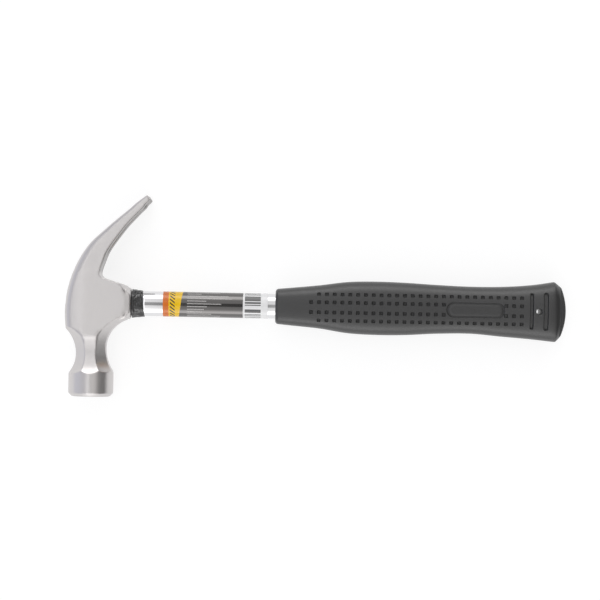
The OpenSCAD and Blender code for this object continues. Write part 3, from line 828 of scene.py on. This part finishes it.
# Passes that even the rings at the heel out, over every axis and then over the thickness alone
EVENING = ((5, slice(0, 3)), (150, slice(2, 3)))
round_section = np.column_stack(
    (np.zeros(SECTION_STEPS), np.cos(section_angles), np.sin(section_angles)))
rings = [round_section * r + (GRIP_START + depth, 0, 0) for r, depth in FRONT_BORE]
for a in np.radians(np.linspace(0, LIP_ARC, LIP_RINGS)):
    rings.append(grip_section(LIP * (1 - math.cos(a)) / GRIP_LEN, LIP * (1 - math.sin(a))))
rings += [grip_section(s) for s in np.linspace(LIP / GRIP_LEN, NEAR_HEEL, BODY_RINGS)]
even_from = len(rings)
rings += [grip_section(s) for s in np.linspace(NEAR_HEEL, HEEL, HEEL_RINGS)[1:]]
heel_ring = rings[-1]
taper_ring = grip_ring(BUTT_END - DOME, *(TAPER * SHARES[-1, 1:] * HALVES))
rings += [heel_ring + (taper_ring - heel_ring) * t for t in np.linspace(0, 1, TAPER_RINGS)[1:]]
for a in np.radians(np.linspace(0, DOME_ARC, DOME_RINGS))[1:]:
    halves = TAPER * math.cos(a) * SHARES[-1, 1:] * HALVES
    rings.append(grip_ring(BUTT_END - DOME * math.cos(a) ** 2, *halves))
rings = np.array(rings)
inner = slice(even_from, -2)
for passes, axes in EVENING:
    for _ in range(passes):
        before, after = rings[even_from - 1:-3, :, axes], rings[even_from + 1:-1, :, axes]
        rings[inner, :, axes] = (before + 2 * rings[inner, :, axes] + after) / 4
grip = stack("rubber_grip", rings)
print("grip body with", len(rings), "sections")

# %% [markdown]
# ### Grooves, panel and hanging hole
# Two grooves run across the butt on each flat side, with the hanging hole between them, and a plain
# sunk panel lies further forward. Each is cut with a slot-shaped tool whose rings follow the grip's
# surface, so that the sunk floor keeps the swell of the rubber. Its profile gives how far each ring
# reaches beyond the slot, and how high it lies over the surface: the rim and the foot are eased.

# %% Slot cutters
ABOVE = 3.0
FINE_RIM = [(0.55, ABOVE), (0.55, 0.10), (0.20, -0.06), (0.06, -0.22)]
# The foot's rings and a moat's lie this high over the lowest place
EASED_FOOT = [(-0.04, 0.25), (-0.14, 0.07), (-0.34, 0.0)]
MOAT_RINGS, MOAT_WIDTH = [(-0.75, 0.0), (-1.05, 0.1)], 1.35
FLOOR_SHARES = (0.6, 0.98)
ARC_POINTS, EDGE_POINTS = 13, 12


def slot_ring(u0, long, wide, grow, rise, side, turned):
    """One ring of a slot with round ends, over the grip's flat side or under it."""
    r, half = wide / 2 + grow, (long - wide) / 2
    arc = np.radians(np.linspace(-90, 90, ARC_POINTS))
    half_way = [(half + r * math.cos(a), r * math.sin(a)) for a in arc]
    half_way += [(x, r) for x in np.linspace(half, -half, EDGE_POINTS)[1:-1]]
    points = half_way + [(-x, -y) for x, y in half_way]
    places = [(u0 + y, x) if turned else (u0 + x, y) for x, y in points]
    return [(u, v, side * (grip_height(u, v) + rise)) for u, v in places]


def slot(name, u0, long, wide, depth, turned=False, moat=0.0):
    """Cutters for one slot in both flat sides; a moat makes its edge deeper than its floor."""
    foot = depth + moat
    eased = EASED_FOOT + MOAT_RINGS if moat else EASED_FOOT
    profile = FINE_RIM + [(grow, rise - foot) for grow, rise in eased]
    if moat:
        profile.append((-MOAT_WIDTH, -depth))
    profile += [(-wide / 2 * t, -depth) for t in FLOOR_SHARES]
    return [stack(name, [slot_ring(u0, long, wide, grow, rise, side, turned)
                         for grow, rise in profile]) for side in (1, -1)]


# Place along the handle, length across it and width of each groove
GROOVES, GROOVE_DEPTH = [(280.4, 22.8, 1.9), (289.5, 23.9, 2.5)], 1.8
PANEL_U, PANEL_LEN, PANEL_WIDTH = BUTT_END - 58.5, 36.8, 9.6
PANEL_DEPTH, PANEL_MOAT = 0.6, 0.3
cutters = []
for groove_u, long, wide in GROOVES:
    cutters += slot("groove", groove_u, long, wide, GROOVE_DEPTH, turned=True)
cutters += slot("panel", PANEL_U, PANEL_LEN, PANEL_WIDTH, PANEL_DEPTH, moat=PANEL_MOAT)
print(len(cutters), "slot cutters")

# %% Hanging hole, and the cuts
HOLE_U, HOLE_R = 285.1, 1.9
HOLE_PROFILE = [(0.9, ABOVE), (0.50, 0.08), (0.22, -0.06), (0.05, -0.30), (0.0, -0.7)]
hole_top = grip_height(HOLE_U, 0)
hole_section = round_section[::4][:, [1, 2, 0]]
hole_rings = []
for side, profile in ((1, HOLE_PROFILE), (-1, HOLE_PROFILE[::-1])):
    hole_rings += [hole_section * (HOLE_R + grow) + (HOLE_U, 0, side * (hole_top + rise))
                   for grow, rise in profile]
cutters.append(stack("hanging_hole", hole_rings))
bpy.context.view_layer.update()
for cutter in cutters:
    cut = grip.modifiers.new(cutter.name, "BOOLEAN")
    cut.operation, cut.solver, cut.object = "DIFFERENCE", "MANIFOLD", cutter
bake(grip)
for cutter in cutters:
    bpy.data.objects.remove(cutter)
print("grip with grooves, panel and hole:", len(grip.data.polygons), "faces")

# %% [markdown]
# ### Dimples
# Four rows of square dimples run along each flat side. They are one small tool repeated, so
# Geometry Nodes set it out: lines of points are laid along the rows, a ray drops each point onto
# the rubber and gives the slope there, the tool is set on every point square to the handle, and one
# cut takes them all out of the body. The inner rows leave out the places that the panel takes.

# %% Dimple tool
DIMPLE, DIMPLE_DEPTH, DIMPLE_CORNER = 2.2, 0.8, 0.45
# How far each ring reaches beyond the dimple's side, and how high it lies over the rubber
DIMPLE_PROFILE = [(0.30, 0.30), (0.13, 0.0), (0.0, -0.2),
                  (-0.08, 0.18 - DIMPLE_DEPTH), (-0.28, -DIMPLE_DEPTH)]
tool_rings = []
for grow, rise in DIMPLE_PROFILE:
    flat, ring = DIMPLE / 2 + grow - DIMPLE_CORNER, []
    for k, (x, y) in enumerate(((1, 1), (-1, 1), (-1, -1), (1, -1))):
        for a in np.radians((90 * k, 90 * k + 45, 90 * k + 90)):
            ring.append((x * flat + DIMPLE_CORNER * math.cos(a),
                         y * flat + DIMPLE_CORNER * math.sin(a), rise))
    tool_rings.append(ring)
tool = stack("dimple_tool", tool_rings)
tool.data.transform(Matrix.Translation(-EYE))
print("dimple tool with", len(tool.data.polygons), "faces")

# %% Inputs of the dimple rows
rows = bpy.data.node_groups.new("dimple rows", "GeometryNodeTree")
sockets = {}
for title, kind in (("Geometry", "Geometry"), ("Tool", "Object"), ("Rubber", "Material")):
    sockets[title] = rows.interface.new_socket(
        title, in_out="INPUT", socket_type="NodeSocket" + kind)
SIZES = {"Last dimple": BUTT_END - 29.3, "Pitch": 4.96, "Inner row": 3.2, "Outer row": 8.35}
for title, value in SIZES.items():
    sockets[title] = rows.interface.new_socket(
        title, in_out="INPUT", socket_type="NodeSocketFloat")
    sockets[title].default_value = value
rows.interface.new_socket("Geometry", in_out="OUTPUT", socket_type="NodeSocketGeometry")
given = add(rows, "NodeGroupInput").outputs
print("inputs:", ", ".join(sockets))


# %% Points of the dimple rows
def vector(tree, *parts):
    """A vector from three parts, each a socket or a number."""
    node = add(tree, "ShaderNodeCombineXYZ")
    for socket, value in zip(node.inputs, parts):
        feed(tree, socket, value)
    return node.outputs[0]


# Which row, how many places it leaves out at the butt's end, and how many dimples follow
ROWS = [("Outer row", 0, 27), ("Inner row", 0, 3), ("Inner row", 10, 18)]
points = add(rows, "GeometryNodeJoinGeometry")
step = vector(rows, maths(rows, "MULTIPLY", given["Pitch"], -MM), 0.0, 0.0)
for title, skipped, count in ROWS:
    left_out = maths(rows, "MULTIPLY", given["Pitch"], float(skipped))
    first = maths(rows, "SUBTRACT", given["Last dimple"], left_out)
    first = maths(rows, "MULTIPLY_ADD", first, MM, EYE.x)
    for side in (1, -1):
        across = maths(rows, "MULTIPLY_ADD", given[title], side * MM, EYE.y)
        start = vector(rows, first, across, 0.0)
        line = add(rows, "GeometryNodeMeshLine", Count=count, Start_Location=start, Offset=step)
        join(rows, line.outputs[0], points.inputs[0])
print("dimples on each flat side:", 2 * sum(count for _, _, count in ROWS))

# %% Tools on the points, and the cut
RAY_FROM, RAY_LENGTH = 30, 1.0
spot = add(rows, "GeometryNodeInputPosition").outputs[0]
spot_x, spot_y, _ = add(rows, "ShaderNodeSeparateXYZ", Vector=spot).outputs
tool_shape = add(rows, "GeometryNodeObjectInfo", Object=given["Tool"]).outputs["Geometry"]
set_out = add(rows, "GeometryNodeJoinGeometry")
for side in (1, -1):
    high = vector(rows, spot_x, spot_y, EYE.z + side * RAY_FROM * MM)
    ray = add(rows, "GeometryNodeRaycast", Target_Geometry=given["Geometry"], Source_Position=high,
              Ray_Direction=(0, 0, -side), Ray_Length=RAY_LENGTH)
    dropped = add(rows, "GeometryNodeSetPosition", Geometry=points.outputs[0],
                  Position=ray.outputs["Hit Position"])
    turn = add(rows, "FunctionNodeAxesToRotation", primary_axis="Z", secondary_axis="X")
    feed(rows, turn.inputs[0], ray.outputs["Hit Normal"])
    feed(rows, turn.inputs[1], (1, 0, 0))
    tools = add(rows, "GeometryNodeInstanceOnPoints", Points=dropped.outputs[0],
                Instance=tool_shape, Rotation=turn.outputs[0])
    join(rows, tools.outputs[0], set_out.inputs[0])
cut = add(rows, "GeometryNodeMeshBoolean", operation="DIFFERENCE", solver="MANIFOLD")
join(rows, given["Geometry"], cut.inputs[0])
join(rows, set_out.outputs[0], cut.inputs[1])
whole = add(rows, "GeometryNodeRealizeInstances", Geometry=cut.outputs[0])
painted = add(rows, "GeometryNodeSetMaterial", Geometry=whole.outputs[0], Material=given["Rubber"])
join(rows, painted.outputs[0], add(rows, "NodeGroupOutput").inputs[0])
print("dimple rows tree with", len(rows.nodes), "nodes")

# %% [markdown]
# ### Moulded rubber
# The rubber is near black and half matt, with a fine grain from the mould. The hollows are duller
# than the skin around them and carry painted shade, a darker colour; the end of the butt is duller
# too and carries painted shade as well. A mask on the vertices tells the material where.

# %% Rubber
# The rubber's own colour, the darker colour of painted shade, and how much duller the shaded places
# are
RUBBER, PIT_SHADE, PIT_MATT = (0.014, 0.014, 0.0145), (0.007, 0.007, 0.007), 0.4
rubber, tree, shader = finish("moulded rubber", IOR=1.7)
pit_shade = add(tree, "ShaderNodeAttribute", attribute_name="pit_shade").outputs["Fac"]
join(tree, blend(tree, pit_shade, RUBBER, PIT_SHADE), shader.inputs["Base Color"])
grain = noise(tree, (900, 900, 900), detail=4.0)
skin_matt = ramp(tree, grain, [(0.3, 0.34), (0.75, 0.44)])
join(tree, maths(tree, "MULTIPLY_ADD", pit_shade, PIT_MATT, skin_matt), shader.inputs["Roughness"])
bump(tree, shader, grain, strength=0.12, distance=0.0002)

# %% Cut the dimples
SHARP = math.radians(38)
dimpled = grip.modifiers.new("dimples", "NODES")
dimpled.node_group = rows
for title, value in (("Tool", tool), ("Rubber", rubber), *SIZES.items()):
    dimpled[sockets[title].identifier] = value
plain_faces = len(grip.data.polygons)
bake(grip)
bpy.data.objects.remove(tool)
grip.data.set_sharp_from_angle(angle=SHARP)
print("dimples added", len(grip.data.polygons) - plain_faces, "faces")

# %% Mask of the painted shade in the hollows and at the butt's end
FLAT_V, FLAT_W, FLAT_U = 13, 8.3, (GRIP_START + 5, BUTT_END - 10)
PANEL_REACH, PANEL_SIDE, GROOVES_FROM = 19.5, 5.6, GROOVES[0][0] - 3
# How much painted shade each kind of hollow gets, and the depths between which it does
DIMPLE_DARK, MOAT_DARK, GROOVE_DARK = (0.9, 0.15, 0.65), (0.4, 0.6, 0.9), (0.1, 0.6, 1.6)
# Painted shade on the butt's end, where it looks away along the handle: how strong, over which
# facing, from where
BUTT_SHADE, BUTT_SHADE_LOOK, BUTT_SHADE_FROM = 1.4, (0.62, 0.82), BUTT_END - 5
u, v, w = read_drawing(grip.data).T
on_flat = (np.abs(v) < FLAT_V) & (np.abs(w) > FLAT_W) & (u > FLAT_U[0]) & (u < FLAT_U[1])
# How deep each vertex lies under the plain swell of the flat sides
depth = np.array([grip_height(a, b) - abs(c) if flat else 0.0
                  for a, b, c, flat in zip(u, v, w, on_flat)])
dimple, moat, groove = (dark * fade(depth, *depths)
                        for dark, *depths in (DIMPLE_DARK, MOAT_DARK, GROOVE_DARK))
in_panel = (np.abs(u - PANEL_U) < PANEL_REACH) & (np.abs(v) < PANEL_SIDE)
hollow = np.where(in_panel, moat, np.where(u > GROOVES_FROM, groove, dimple))
shaded_butt = BUTT_SHADE * fade(facing(grip.data)[:, 0], *BUTT_SHADE_LOOK) * (u > BUTT_SHADE_FROM)
keep_mask(grip.data, "pit_shade", hollow + shaded_butt)
print("hollows:", int((hollow > 0).sum()), "vertices")
dress(grip, "grip", rubber)
